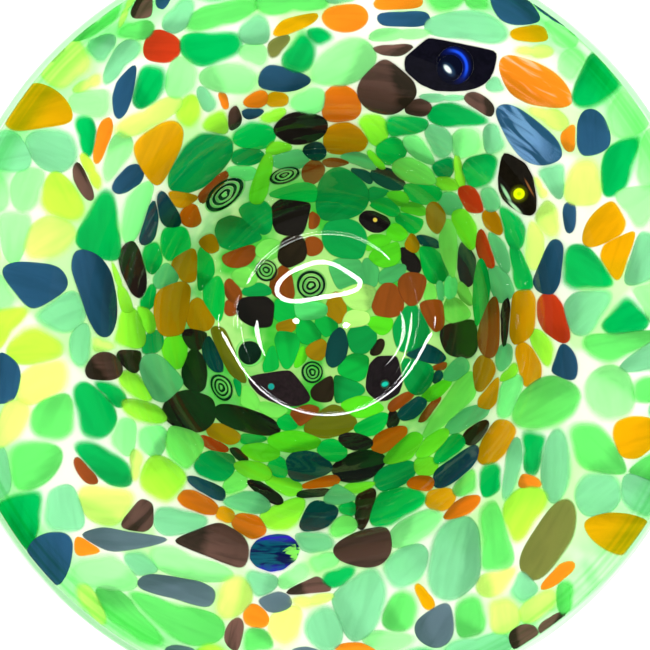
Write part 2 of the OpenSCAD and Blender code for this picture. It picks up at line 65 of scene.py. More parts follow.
def mesh_arrays(name):
    """Points, triangles and face normals of a CAD node, as arrays."""
    mesh = nodes[name].data
    points = np.empty(len(mesh.vertices) * 3)
    mesh.vertices.foreach_get("co", points)
    corners = np.empty(len(mesh.polygons) * 3, int)
    mesh.polygons.foreach_get("vertices", corners)
    normals = np.empty(len(mesh.polygons) * 3)
    mesh.polygons.foreach_get("normal", normals)
    return points.reshape(-1, 3), corners.reshape(-1, 3), normals.reshape(-1, 3)


def profile(name, side):
    """(radius, height) points of the upper (side 1) or lower (side -1) faces of a turned CAD node."""
    points, corners, normals = mesh_arrays(name)
    steep_limit, least_step = 0.4, 0.2 * MM
    picked = np.unique(corners[side * normals[:, 2] > steep_limit])
    rz = np.column_stack([np.hypot(points[picked, 0], points[picked, 1]), points[picked, 2]])
    rz = rz[np.argsort(rz[:, 0])]
    kept = [rz[0]]
    for row in rz[1:]:
        if row[0] - kept[-1][0] > least_step:
            kept.append(row)
    return np.array(kept)


def smooth_line(points, per_span=14):
    """A centripetal Catmull-Rom line through the points."""
    p = np.vstack([2 * points[0] - points[1], points, 2 * points[-1] - points[-2]])
    out = []
    for i in range(1, len(p) - 2):
        p0, p1, p2, p3 = p[i - 1:i + 3]
        t1 = np.linalg.norm(p1 - p0) ** 0.5
        t2 = t1 + np.linalg.norm(p2 - p1) ** 0.5
        t3 = t2 + np.linalg.norm(p3 - p2) ** 0.5
        for t in np.linspace(t1, t2, per_span, endpoint=False):
            a1 = (t1 - t) / t1 * p0 + t / t1 * p1
            a2 = (t2 - t) / (t2 - t1) * p1 + (t - t1) / (t2 - t1) * p2
            a3 = (t3 - t) / (t3 - t2) * p2 + (t - t2) / (t3 - t2) * p3
            b1 = (t2 - t) / t2 * a1 + t / t2 * a2
            b2 = (t3 - t) / (t3 - t1) * a2 + (t - t1) / (t3 - t1) * a3
            out.append((t2 - t) / (t2 - t1) * b1 + (t - t1) / (t2 - t1) * b2)
    out.append(points[-1])
    return np.array(out)


lining_upper = profile("lining", 1)
lining_lower = profile("lining", -1)
casing_upper = profile("casing", 1)
casing_lower = profile("casing", -1)
floor_r = lining_upper[lining_upper[:, 1] < lining_upper[0, 1] + 1e-5][-1][0]
floor_z = lining_upper[0, 1]
lining_t = floor_z - lining_lower[0, 1]
mosaic_t = lining_lower[0, 1] - casing_upper[0, 1]
wall_t = floor_z - casing_lower[0, 1]
foot_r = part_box("foot_disc")[1][0]

# The wall's inner surface: the level floor, then the curve that the CAD follows in straight steps
rising = lining_upper[lining_upper[:, 0] > floor_r - 1e-5]
flat = np.column_stack([np.linspace(0, floor_r, 12)[:-1], np.full(11, floor_z)])
wall = smooth_line(np.vstack([flat, rising]))


def run_along(line):
    """Distance along a line at each of its points."""
    return np.concatenate([[0], np.cumsum(np.linalg.norm(np.diff(line, axis=0), axis=1))])


def eased(line, reach, count=600, margin=199, half_window=60):
    """A line with its bends eased over a distance along it; its ends stay."""
    run = run_along(line)
    at = np.linspace(0, run[-1], count)
    even = np.column_stack([np.interp(at, run, line[:, 0]), np.interp(at, run, line[:, 1])])
    before = even[1:margin + 1][::-1] * (-1, 1)
    after = 2 * even[-1] - even[-margin - 1:-1][::-1]
    wide = np.vstack([before, even, after])
    offsets = np.arange(-half_window, half_window + 1) * (at[1] - at[0])
    weights = np.exp(-0.5 * (offsets / reach) ** 2)
    weights /= weights.sum()
    soft = np.column_stack([np.convolve(wide[:, k], weights, "same") for k in (0, 1)])[margin:margin + count]
    soft[0, 0] = 0.0
    return soft


wall = eased(wall, 2.6 * MM)
wall_dir = np.gradient(wall, axis=0)
wall_dir /= np.linalg.norm(wall_dir, axis=1)[:, None]
wall_nrm = np.column_stack([-wall_dir[:, 1], wall_dir[:, 0]])


def under(depth):
    """The wall's line at a depth below the inner surface."""
    return wall - depth * wall_nrm


mid_depth = lining_t + mosaic_t / 2
mid = under(mid_depth)
rim_r = mid[-1, 0]


def on_mosaic(xy, lift):
    """Points of the mosaic layer over plan points; lift is the height above its middle, along the normal."""
    r = np.hypot(xy[:, 0], xy[:, 1])
    rr = np.minimum(r, rim_r)
    z = np.interp(rr, mid[:, 0], mid[:, 1])
    nr = np.interp(rr, mid[:, 0], wall_nrm[:, 0])
    nz = np.interp(rr, mid[:, 0], wall_nrm[:, 1])
    safe = np.maximum(r, 1e-9)
    radial = xy / safe[:, None]
    out = np.empty((len(xy), 3))
    out[:, :2] = radial * (rr + lift * nr)[:, None]
    out[:, 2] = z + lift * nz
    return out


def loose_parts(name):
    """The separate solids of a CAD node, each as its plan points."""
    points, corners, _ = mesh_arrays(name)
    _, first, same = np.unique(np.round(points, 6), axis=0, return_index=True, return_inverse=True)
    same = same.ravel()
    tri = same[corners]
    label = np.arange(len(first))
    while True:
        low = label[tri].min(1)
        new = label.copy()
        np.minimum.at(new, tri.ravel(), np.repeat(low, 3))
        new = new[new]
        if (new == label).all():
            break
        label = new
    plan = points[first][:, :2]
    return [plan[label == k] for k in np.unique(label[tri.ravel()])]


def hull(points):
    """Convex outline of plan points, counter-clockwise."""
    pts = sorted(map(tuple, np.round(points, 6)))

    def half(seq):
        line = []
        for p in seq:
            while len(line) > 1 and ((line[-1][0] - line[-2][0]) * (p[1] - line[-2][1])
                                     - (line[-1][1] - line[-2][1]) * (p[0] - line[-2][0])) <= 0:
                line.pop()
            line.append(p)
        return line[:-1]

    return np.array(half(pts) + half(pts[::-1]))


def resampled(loop, n):
    """n even points along a loop, and the loop's length."""
    closed = np.vstack([loop, loop[:1]])
    run = run_along(closed)
    at = np.linspace(0, run[-1], n, endpoint=False)
    return np.column_stack([np.interp(at, run, closed[:, 0]), np.interp(at, run, closed[:, 1])]), run[-1]


def area_of(loop):
    """Area inside a plan loop, positive when it runs counter-clockwise."""
    nxt = np.roll(loop, -1, axis=0)
    return 0.5 * np.sum(loop[:, 0] * nxt[:, 1] - nxt[:, 0] * loop[:, 1])


def softened(loop, reach, count=128):
    """A loop with its corners rounded over a distance, keeping its area."""
    dense, around = resampled(loop, count)
    before = area_of(dense)
    freq = np.fft.fftfreq(count, d=around / count)
    keep = np.exp(-2 * (math.pi * freq * reach) ** 2)
    dense = np.column_stack([np.fft.ifft(np.fft.fft(dense[:, k]) * keep).real for k in (0, 1)])
    middle = dense.mean(0)
    return middle + (dense - middle) * math.sqrt(before / area_of(dense))


# ---------------------------------------------------------------- mesh building

class Build:
    """Collects points, faces and per-point values for one piece."""

    def __init__(self):
        self.points, self.faces, self.values, self.count = [], [], {}, 0

    def add(self, points, faces, **values):
        """Adds points and faces; each named value is an array with one row per point."""
        self.points.append(points)
        self.faces += [tuple(int(i) + self.count for i in f) for f in faces]
        for key, value in values.items():
            self.values.setdefault(key, []).append(value)
        self.count += len(points)

    def piece(self, name, materials, slot, stands_for, face_material=None):
        """Makes the piece's mesh object, and hides the CAD nodes that it stands for; slot is not used."""
        mesh = bpy.data.meshes.new(name)
        mesh.from_pydata(np.vstack(self.points).tolist(), [], self.faces)
        for key, parts in self.values.items():
            flat = np.concatenate([np.asarray(p, float).reshape(len(p), -1) for p in parts])
            if flat.shape[1] == 1:
                layer = mesh.attributes.new(key, "FLOAT", "POINT")
                layer.data.foreach_set("value", flat.ravel())
            else:
                layer = mesh.attributes.new(key, "FLOAT_VECTOR", "POINT")
                layer.data.foreach_set("vector", flat.ravel())
        for material in materials:
            mesh.materials.append(material)
        if face_material is not None:
            mesh.polygons.foreach_set("material_index", np.asarray(face_material, np.int32))
        mesh.polygons.foreach_set("use_smooth", np.ones(len(mesh.polygons), bool))
        mesh.validate()
        mesh.update()
        piece = bpy.data.objects.new(name, mesh)
        bpy.context.scene.collection.objects.link(piece)
        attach(piece, "root")
        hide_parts(*stands_for)


# Share of the mosaic's thickness that the fullest chip takes
SLAB_FILL = 0.96
# A rounded edge in section: (distance in from the edge, height over the middle), as shares of its radius
EDGE_STEPS = [(0.0, 0.0), (0.05, 0.31), (0.2, 0.6), (0.45, 0.84), (0.75, 0.97), (1.0, 1.0)]
# The widest rounding of a slab's outer and inner edge, as a share of the way across it
WIDEST_OUT, WIDEST_IN = 0.45, 0.3
# A slab's level rings of points, as shares of the way from its rounding to its middle
LEVEL_RINGS = (0.22, 0.48, 0.74)


def slab(build, outer, inner=None, round_out=0.8 * MM, round_in=0.15 * MM, seed=0.0, fill=1.0, lit=0.0):
    """A fused piece of glass in the mosaic layer, from an outer plan loop to its middle or an inner loop."""
    n = len(outer)
    half = mosaic_t / 2 * SLAB_FILL * fill
    middle = outer.mean(0)
    if inner is None:
        span = np.linalg.norm(outer - middle, axis=1)
        target = np.repeat(middle[None], n, 0)
    else:
        span = np.linalg.norm(outer - inner, axis=1)
        target = inner
    w = np.minimum(round_out, WIDEST_OUT * span)
    rows = [(w * d / span, h) for d, h in EDGE_STEPS]
    if inner is None:
        rows += [(w / span + (1 - w / span) * f, 1.0) for f in LEVEL_RINGS]
    else:
        v = np.minimum(round_in, WIDEST_IN * span)
        rows += [(0.5 * (w / span + 1 - v / span), 1.0)]
        rows += [(1 - v * d / span, h) for d, h in EDGE_STEPS[::-1]]
    spread = outer - middle
    _, _, (long_dir, wide_dir) = np.linalg.svd(spread, full_matrices=False)
    half_long, half_wide = np.abs(spread @ long_dir).max(), np.abs(spread @ wide_dir).max()
    top, low, inset, flow, side = [], [], [], [], []
    for share, h in rows:
        share = np.broadcast_to(share, n)
        xy = outer + (target - outer) * share[:, None]
        top.append(on_mosaic(xy, half * h))
        low.append(on_mosaic(xy, -half * h))
        inset.append(share * span)
        local = xy - middle
        flow.append(np.column_stack([local @ long_dir, local @ wide_dir, np.full(n, seed * MM)]))
        side.append(np.column_stack([local @ long_dir / half_long, local @ wide_dir / half_wide,
                                     np.zeros(n)]))
    points, faces, ins, flo, sid = [], [], [], [], []
    base, index_top, index_low = 0, [], []
    for k, (_, h) in enumerate(rows):
        for shell, index in ((top, index_top), (low, index_low)):
            if shell is low and h == 0.0:
                index_low.append(index_top[-1])
                continue
            points.append(shell[k])
            ins.append(inset[k])
            flo.append(flow[k])
            sid.append(side[k])
            index.append(np.arange(base, base + n))
            base += n
    for k in range(len(rows) - 1):
        for i in range(n):
            j = (i + 1) % n
            faces.append((index_top[k][i], index_top[k][j], index_top[k + 1][j], index_top[k + 1][i]))
            faces.append((index_low[k][j], index_low[k][i], index_low[k + 1][i], index_low[k + 1][j]))
    if inner is None:
        for ring, lift, flip in ((index_top[-1], half, False), (index_low[-1], -half, True)):
            points.append(on_mosaic(middle[None], lift))
            ins.append([float(span.mean())])
            flo.append(np.array([[0.0, 0.0, seed * MM]]))
            sid.append(np.zeros((1, 3)))
            for i in range(n):
                a, b = ring[i], ring[(i + 1) % n]
                faces.append((b, a, base) if flip else (a, b, base))
            base += 1
    build.add(np.vstack(points), faces, inset=np.concatenate(ins), flow=np.vstack(flo), side=np.vstack(sid),
              seed=np.full(base, seed), lit=np.full(base, lit))


def one_slab(name, material, slot, stands_for, *loops, **look):
    """A piece that is a single slab."""
    build = Build()
    slab(build, *loops, **look)
    build.piece(name, [material], slot, [stands_for])


# ---------------------------------------------------------------- materials

def nodes_of(name):
    """A new material and its empty node tree."""
    material = bpy.data.materials.new(name)
    material.use_nodes = True
    tree = material.node_tree
    tree.nodes.clear()
    return material, tree


def node(tree, kind, inputs=None, **settings):
    """A new node; inputs are sockets to link or plain values, settings are the node's own."""
    made = tree.nodes.new(kind)
    for key, value in settings.items():
        setattr(made, key, value)
    for key, value in (inputs or {}).items():
        socket = made.inputs[key]
        if isinstance(value, bpy.types.NodeSocket):
            tree.links.new(value, socket)
        else:
            socket.default_value = value
    return made


def one_shader(name, kind, inputs):
    """A material of a single shader."""
    material, tree = nodes_of(name)
    node(tree, "ShaderNodeOutputMaterial", {"Surface": node(tree, kind, inputs).outputs[0]})
    return material


def maths(tree, operation, a, b=0.0, clamp=False):
    """The result of one operation, as a socket. So are those of the helpers that follow."""
    return node(tree, "ShaderNodeMath", {0: a, 1: b}, operation=operation, use_clamp=clamp).outputs[0]


def product(tree, a, b):
    return maths(tree, "MULTIPLY", a, b)


def total(tree, a, b, clamp=False):
    return maths(tree, "ADD", a, b, clamp)


def length(tree, a, b):
    return maths(tree, "SQRT", total(tree, product(tree, a, a), product(tree, b, b)))


def noise(tree, place, scale=1.0, detail=2.0, distortion=0.0):
    """A noise pattern; scale is a number, or three numbers along the place's own axes."""
    if isinstance(scale, tuple):
        place = node(tree, "ShaderNodeMapping", {"Vector": place, "Scale": scale}).outputs[0]
        scale = 1.0
    made = node(tree, "ShaderNodeTexNoise", {"Vector": place, "Scale": scale, "Detail": detail,
                                             "Distortion": distortion})
    return made.outputs["Fac"]


def object_place(tree):
    return node(tree, "ShaderNodeTexCoord").outputs["Object"]


def attribute(tree, name, output="Fac"):
    return node(tree, "ShaderNodeAttribute", attribute_name=name).outputs[output]


def ramp(tree, value, low, high, to_low=0.0, to_high=1.0, smooth=True):
    """A value taken from one range to another, held at its ends."""
    made = node(tree, "ShaderNodeMapRange", {"Value": value, "From Min": low, "From Max": high,
                                             "To Min": to_low, "To Max": to_high},
                interpolation_type="SMOOTHSTEP" if smooth else "LINEAR")
    return made.outputs[0]


def blend(tree, share, a, b):
    """Colour a where the share is 0, colour b where it is 1."""
    made = node(tree, "ShaderNodeMix", data_type="RGBA")
    for socket, value in ((made.inputs[0], share), (made.inputs[6], a), (made.inputs[7], b)):
        if isinstance(value, bpy.types.NodeSocket):
            tree.links.new(value, socket)
        else:
            socket.default_value = value
    return made.outputs[2]


def linear(r, g, b):
    """A scene colour from screen values of 0 to 255."""
    def one(c):
        c = c / 255
        return c / 12.92 if c <= 0.04045 else ((c + 0.055) / 1.055) ** 2.4
    return (one(r), one(g), one(b), 1.0)


def plan_radius(tree):
    """Distance from the bowl's axis, in metres."""
    parts = node(tree, "ShaderNodeSeparateXYZ", {0: object_place(tree)}).outputs
    return length(tree, parts[0], parts[1])


def glass_body(tree, tint, see_tint, opacity, through_share):
    """Closes a material of coloured glass: a body that scatters light from both sides, partly see-through."""
    clear = node(tree, "ShaderNodeBsdfTransparent", {"Color": see_tint})
    face = node(tree, "ShaderNodeBsdfDiffuse", {"Color": tint})
    through = node(tree, "ShaderNodeBsdfTranslucent", {"Color": tint})
    body = node(tree, "ShaderNodeMixShader", {0: through_share, 1: face.outputs[0], 2: through.outputs[0]})
    shown = node(tree, "ShaderNodeMixShader", {0: opacity, 1: clear.outputs[0], 2: body.outputs[0]})
    node(tree, "ShaderNodeOutputMaterial", {"Surface": shown.outputs[0]})


def darker(colour, share):
    """A linear colour as it looks through a thicker layer of the same glass."""
    return (colour[0] * share ** 1.3, colour[1] * share, colour[2] * share ** 1.2, 1.0)


# Plan radii, in m, between which looks change: the chips' colour and edges, the joint glass's colour, its
# tint near the lip, the skin's tint at the lip, and the skin's waves at the foot of the wall
CHIP_LIP_FROM, CHIP_LIP_AT = 0.05, 0.115
JOINT_TURN = (0.042, 0.1)
JOINT_LIP = (0.126, 0.142)
SKIN_LIP = (0.137, 0.146)
SKIN_WAVES = (0.04, 0.06)
WHITE = (1, 1, 1, 1)


def chip_glass(name, inner, outer, opacity, streak, pale=None, soft=0.0, lean=0.35, lip_from=CHIP_LIP_FROM):
    """Coloured glass of a chip, darker near the floor and paler towards the lip: partly the glass thinning
    towards the lip, partly painted shade deep in the bowl and painted backlight towards the lip. It is partly
    see-through, with drawn-out streaks, a darker side where another layer lies over it, and an edge that
    thins out softly on one side."""
    material, tree = nodes_of(name)
    seed = attribute(tree, "seed")
    flow = attribute(tree, "flow", "Vector")
    streaks = noise(tree, flow, (40.0, 260.0, 1000.0), 3.0, 0.6)
    cloud = noise(tree, flow, (110.0, 150.0, 1000.0), 2.0, 0.6)
    # outward runs from the deep part's colour, darkened with painted shade, to the lip's, paled by thinner
    # glass and by painted backlight
    outward = ramp(tree, plan_radius(tree), lip_from, CHIP_LIP_AT)
    chance = node(tree, "ShaderNodeTexWhiteNoise", {"W": seed}, noise_dimensions="1D").outputs["Color"]
    dice = node(tree, "ShaderNodeSeparateColor", {0: chance}).outputs
    # bent runs from -1 to 1 across the chip, in a direction of its own
    aim = product(tree, dice[1], TAU)
    sides = node(tree, "ShaderNodeSeparateXYZ", {0: attribute(tree, "side", "Vector")}).outputs
    across = total(tree, product(tree, sides[0], maths(tree, "COSINE", aim)),
                   product(tree, sides[1], maths(tree, "SINE", aim)))
    bent = total(tree, across, ramp(tree, cloud, 0.3, 0.7, -0.06, 0.06))
    overlap = product(tree, ramp(tree, bent, 0.1, 0.55), ramp(tree, dice[2], 0.4, 0.8, 0.0, lean))
    drift = ramp(tree, bent, -1.2, 1.2, -0.2, 0.25, smooth=False)
    shade = total(tree, ramp(tree, streaks, 0.38, 0.68, 0.0, streak), total(tree, overlap, drift))
    shade = total(tree, shade, ramp(tree, dice[0], 0.0, 1.0, -0.15, 0.3, smooth=False), clamp=True)
    dark_glass = max(outer[:3]) <= 0.2
    deepest = darker(outer, 0.25 if dark_glass else 0.62)
    tint = blend(tree, shade, blend(tree, outward, inner, outer),
                 blend(tree, outward, darker(inner, 0.5), deepest))
    if pale is not None:
        # Painted sheen: on the chip marked lit, light streaks of the pale colour stand for a reflection in
        # the glass over it
        sheen = product(tree, ramp(tree, streaks, 0.54, 0.38, 0.0, 0.85), ramp(tree, bent, 0.8, 0.0))
        tint = blend(tree, product(tree, sheen, attribute(tree, "lit")), tint, pale)
    one_side = ramp(tree, bent, -0.9, 0.7, 1.5, 0.45)
    softness = product(tree, ramp(tree, outward, 0.0, 1.0, 0.5 * MM, 0.5 * MM + soft), one_side)
    edge = ramp(tree, maths(tree, "DIVIDE", attribute(tree, "inset"), softness), 0.15, 1.0)
    paler = node(tree, "ShaderNodeGamma", {"Color": tint, "Gamma": 0.45}).outputs[0]
    glass_body(tree, tint, blend(tree, edge, WHITE, paler), product(tree, edge, opacity), 0.45)
    return material


def clear_glass(name, tint, wave=0.05 * MM):
    """Clear glass as a see-through surface with a mirror sheen that grows at grazing angles. Its tint shows
    aslant and, in fine lines, round the lip. wave is the depth of its surface waves."""
    material, tree = nodes_of(name)
    place = object_place(tree)
    facing = node(tree, "ShaderNodeLayerWeight", {"Blend": 0.35}).outputs["Facing"]
    parts = node(tree, "ShaderNodeSeparateXYZ", {0: place}).outputs
    turn = maths(tree, "ARCTAN2", parts[1], parts[0])
    radius = plan_radius(tree)
    wall_place = node(tree, "ShaderNodeCombineXYZ", {0: maths(tree, "COSINE", turn),
                                                     1: maths(tree, "SINE", turn), 2: radius}).outputs[0]
    lines = noise(tree, wall_place, (1.6, 1.6, 600.0))
    rim = product(tree, ramp(tree, radius, *SKIN_LIP), ramp(tree, lines, 0.38, 0.6, 0.3, 1.0))
    tinted = blend(tree, maths(tree, "MAXIMUM", ramp(tree, facing, 0.4, 1.0), rim), WHITE, tint)
    clear = node(tree, "ShaderNodeBsdfTransparent", {"Color": tinted})
    tooling = noise(tree, wall_place, (26.0, 26.0, 30.0), 3.0)
    ripple = noise(tree, place, 26.0, 1.0)
    on_wall = ramp(tree, radius, *SKIN_WAVES)
    height = total(tree, product(tree, ripple, ramp(tree, on_wall, 0.0, 1.0, 0.12, 1.0)),
                   product(tree, tooling, product(tree, on_wall, 0.5)))
    bump = node(tree, "ShaderNodeBump", {"Height": height, "Strength": 1.0, "Distance": wave}).outputs[0]
    sheen = node(tree, "ShaderNodeBsdfGlossy", {"Color": WHITE, "Roughness": 0.0, "Normal": bump})
    # Schlick's share of mirrored light, for glass with 4 per cent straight on
    straight = 0.04
    aslant = node(tree, "ShaderNodeLayerWeight", {"Blend": 0.5, "Normal": bump}).outputs["Facing"]
    share = node(tree, "ShaderNodeMath", {0: maths(tree, "POWER", aslant, 5.0), 1: 1 - straight, 2: straight},
                 operation="MULTIPLY_ADD").outputs[0]
    lit = node(tree, "ShaderNodeMixShader", {0: share, 1: clear.outputs[0], 2: sheen.outputs[0]})
    node(tree, "ShaderNodeOutputMaterial", {"Surface": lit.outputs[0]})
    return material


def joint_glass():
    """The glass that fills the joints between the chips: green in the deep part, as painted light passed on
    by the green chips round it, milky white towards the lip and pale green at it."""
    material, tree = nodes_of("joint_glass")
    radius = plan_radius(tree)
    outward = ramp(tree, radius, *JOINT_TURN)
    place = object_place(tree)
    cloud = noise(tree, place, 55.0)
    patch = noise(tree, place, 34.0, 1.0)
    # Painted light: the deep part's green stands for green light that the chips round the joints pass on
    deep = blend(tree, ramp(tree, cloud, 0.4, 0.58), linear(60, 205, 50), linear(190, 245, 140))
    pale = blend(tree, ramp(tree, patch, 0.62, 0.5), linear(205, 252, 175), linear(255, 254, 240))
    near_lip = product(tree, ramp(tree, radius, *JOINT_LIP), ramp(tree, cloud, 0.35, 0.6, 0.5, 1.0))
    tint = blend(tree, near_lip, blend(tree, outward, deep, pale), linear(140, 234, 140))
    glass_body(tree, tint, blend(tree, 0.5, tint, WHITE), ramp(tree, outward, 0.0, 1.0, 0.75, 0.55), 0.5)
    return material


skin_glass = clear_glass("skin_glass", (0.66, 0.88, 0.68, 1))
joint = joint_glass()
inner_glass = one_shader("inner_glass", "ShaderNodeBsdfTransparent", {"Color": (0.98, 1.0, 0.98, 1)})

# ---------------------------------------------------------------- clear layers


def lathe(build, line, turns=256):
    """Turns a (radius, height) line that starts and ends on the axis. Returns each face's place along it."""
    angle = np.arange(turns) * TAU / turns
    rows, points = [], []
    base = 0
    for r, z in line:
        if r < 1e-7:
            points.append(np.array([[0.0, 0.0, z]]))
        else:
            points.append(np.column_stack([r * np.cos(angle), r * np.sin(angle), np.full(turns, z)]))
        rows.append(np.arange(base, base + len(points[-1])))
        base += len(points[-1])
    faces, spans = [], []
    for k in range(len(rows) - 1):
        a, b = rows[k], rows[k + 1]
        for i in range(turns):
            j = (i + 1) % turns
            if len(a) == 1 and len(b) == 1:
                continue
            if len(a) == 1:
                faces.append((a[0], b[i], b[j]))
            elif len(b) == 1:
                faces.append((a[i], b[0], a[j]))
            else:
                faces.append((a[i], b[i], b[j], a[j]))
            spans.append(k)
    build.add(np.vstack(points), faces)
    return spans


def thinned(line, gap=1.6 * MM):
    """A line without the points that lie closer than a gap to the last one kept."""
    kept = [line[0]]
    for row in line[1:-1]:
        if np.linalg.norm(row - kept[-1]) > gap:
            kept.append(row)
    return np.array(kept + [line[-1]])


# The joint glass lies this far below the mosaic's upper face, so that the chips stand out of it a little
JOINT_SINK = 0.2 * MM

# Lining: inner skin on top, the joint glass between the chips below
top_line = thinned(under(0.0))
low_line = thinned(under(lining_t + JOINT_SINK))
lining_line = np.vstack([low_line, top_line[::-1]])
build = Build()
spans = lathe(build, lining_line)
build.piece("clear_lining", [skin_glass, joint], "lining", ["lining"],
            [1 if s < len(low_line) - 1 else 0 for s in spans])

# Casing: the outer skin below, rolled over the lip, and a plain clear side towards the mosaic
outer = thinned(under(wall_t))
inner = thinned(under(lining_t + mosaic_t))
lip_from, lip_to = outer[-1], wall[-1]
lip_centre = (lip_from + lip_to) / 2
start = math.atan2(*(lip_from - lip_centre)[::-1])
lip = np.array([lip_centre + wall_t / 2 * np.array([math.cos(start + a), math.sin(start + a)])
                for a in np.linspace(0, math.pi, 25)])
casing_line = np.vstack([outer[:-1], lip, inner[::-1]])
build = Build()
spans = lathe(build, casing_line)
skin_spans = len(outer) - 1 + len(lip) - 1
build.piece("clear_casing", [skin_glass, inner_glass], "casing", ["casing"],
            [0 if s < skin_spans else 1 for s in spans])

# Foot: a disc fused under the casing, with a ground hollow
foot_line = profile("foot_disc", -1)
if foot_line[0, 0] > 0.01 * MM:
    foot_line = np.vstack([[0, foot_line[0, 1]], foot_line])
under_casing = thinned(under(wall_t + 0.03 * MM))  # just clear of the casing's outer skin
seat = under_casing[under_casing[:, 0] < foot_r - 1.2 * MM]
fillet = np.array([[foot_r, foot_line[-1, 1] + 0.6 * MM], [foot_r - 0.1 * MM, 4.6 * MM],
                   [foot_r - 0.5 * MM, 5.7 * MM]])  # the disc's upright edge, rounded in towards the casing
build = Build()
lathe(build, np.vstack([foot_line, fillet, seat[::-1]]))
build.piece("foot_glass", [skin_glass], "foot_disc", ["foot_disc"])

# ---------------------------------------------------------------- chips

CHIPS = {
    # node: (colour in the deep part, with painted shade, colour at the lip, with painted backlight, opacity,
    #        streaks, painted sheen colour, soft edge in mm, overlap, plan radius in m where the lip's colour
    #        sets in)
    "emerald_chips": ((8, 186, 70), (2, 184, 94), 0.86, 0.3, None, 3.6, 0.6),
    "deep_green_chips": ((8, 160, 72), (0, 154, 86), 0.88, 0.3, None, 2.0, 0.6),
    "grass_green_chips": ((130, 226, 94), (112, 220, 114), 0.84, 0.25, None, 4.0, 0.7),
    "lime_chips": ((96, 222, 35), (202, 252, 78), 0.82, 0.25, None, 4.0, 0.7),
    "yellow_green_chips": ((208, 252, 140), (230, 255, 134), 0.78, 0.2, None, 4.5, 0.8),
    "mint_chips": ((94, 226, 124), (172, 250, 168), 0.84, 0.2, None, 3.6, 0.8),
    "sea_green_chips": ((84, 190, 110), (142, 214, 166), 0.86, 0.25, None, 2.6, 0.6),
    "olive_chips": ((108, 112, 18), (128, 132, 66), 0.88, 0.3, None, 1.2, 0.4),
    "ochre_chips": ((176, 134, 4), (214, 140, 5), 0.88, 0.3, None, 0.5, 0.4),
    "amber_chips": ((200, 142, 4), (224, 168, 8), 0.88, 0.3, None, 0.6, 0.5),
    "orange_chips": ((190, 96, 2), (246, 148, 34), 0.9, 0.3, (255, 196, 160), 0.5, 0.5, 0.07),
    "red_chips": ((180, 62, 14), (206, 64, 28), 0.92, 0.25, None, 0.4, 0.3),
    "rust_chips": ((150, 76, 20), (150, 76, 34), 0.92, 0.3, None, 0.3, 0.4),
    "brown_chips": ((42, 34, 18), (118, 86, 76), 0.95, 0.6, None, 0.2, 1.0, 0.075),
    "black_chips": ((30, 27, 22), (34, 28, 26), 0.98, 0.4, None, 0.1, 0.5),
    "navy_chips": ((8, 54, 50), (44, 90, 124), 0.95, 0.4, (120, 165, 208), 0.2, 0.7, 0.065),
    "petrol_chips": ((10, 70, 66), (8, 62, 66), 0.94, 0.4, None, 0.2, 0.5),
    "slate_chips": ((88, 108, 114), (98, 120, 130), 0.92, 0.35, None, 0.6, 0.5),
}
# The one chip of a colour that carries a painted sheen, light streaks that stand for a reflection, by its
# place in plan, in m
PAINTED_SHEEN_CHIPS = {"navy_chips": (0.080, 0.073), "orange_chips": (0.082, 0.093)}

# A chip's outline changes from the floor's kind to the wall's over this range of plan radii, in m
OUTLINE_FROM, OUTLINE_OVER = 0.055, 0.06
# Rounding of its corners, as a share of its size: on the floor, and how much more on the wall
CORNER, CORNER_MORE = 0.07, 0.05
# Growth over its CAD outline, in mm: on the floor, on the wall, and on the wall for each mm of its soft edge
GROWN_FLOOR, GROWN_WALL, GROWN_SOFT = 0.66, 0.5, 0.36
# Spacing of the points round it, their least and greatest number, and its way round as a multiple of its size
POINT_GAP, FEWEST_POINTS, MOST_POINTS, WAY_ROUND = 0.9 * MM, 24, 64, 3.6
# Rounding of its upper and lower edges: a length, and the most that it may be as a share of its size
EDGE_ROUND, EDGE_SHARE = 0.25 * MM, 0.08
# Ranges of each chip's random draws: what sets its streaks, and the share of the layer that it fills
SEED_RANGE, FILL_RANGE = (1, 50), (0.86, 1.0)

random.seed(7)
for name, (inner_colour, outer_colour, opacity, streak, sheen, soft, *rest) in CHIPS.items():
    material = chip_glass(name.replace("_chips", "_glass"), linear(*inner_colour), linear(*outer_colour),
                          opacity, streak, None if sheen is None else linear(*sheen), soft * MM, *rest)
    outlines = [hull(part) for part in loose_parts(name)]
    chosen = None
    if name in PAINTED_SHEEN_CHIPS:
        chosen = min(range(len(outlines)),
                     key=lambda i: np.linalg.norm(outlines[i].mean(0) - PAINTED_SHEEN_CHIPS[name]))
    build = Build()
    for i, outline in enumerate(outlines):
        size = math.sqrt(abs(area_of(outline)))
        middle = outline.mean(0)
        out_share = min(1, max(0, (np.hypot(*middle) - OUTLINE_FROM) / OUTLINE_OVER))
        loop = softened(outline, (CORNER + CORNER_MORE * out_share) * size)
        grown = GROWN_FLOOR * (1 - out_share) + (GROWN_WALL + GROWN_SOFT * soft) * out_share
        loop = middle + (loop - middle) * (1 + grown * MM / (0.5 * size))
        n = int(min(MOST_POINTS, max(FEWEST_POINTS, size * WAY_ROUND / POINT_GAP)))
        loop, _ = resampled(loop, n)
        # lit marks the one chip that gets the painted sheen
        slab(build, loop, round_out=min(EDGE_ROUND, EDGE_SHARE * size), seed=random.uniform(*SEED_RANGE),
             fill=random.uniform(*FILL_RANGE), lit=1.0 if i == chosen else 0.0)
    build.piece(name.replace("_chips", "_glass_chips"), [material], name, [name])

# ---------------------------------------------------------------- cane slices


mid_run = run_along(mid)


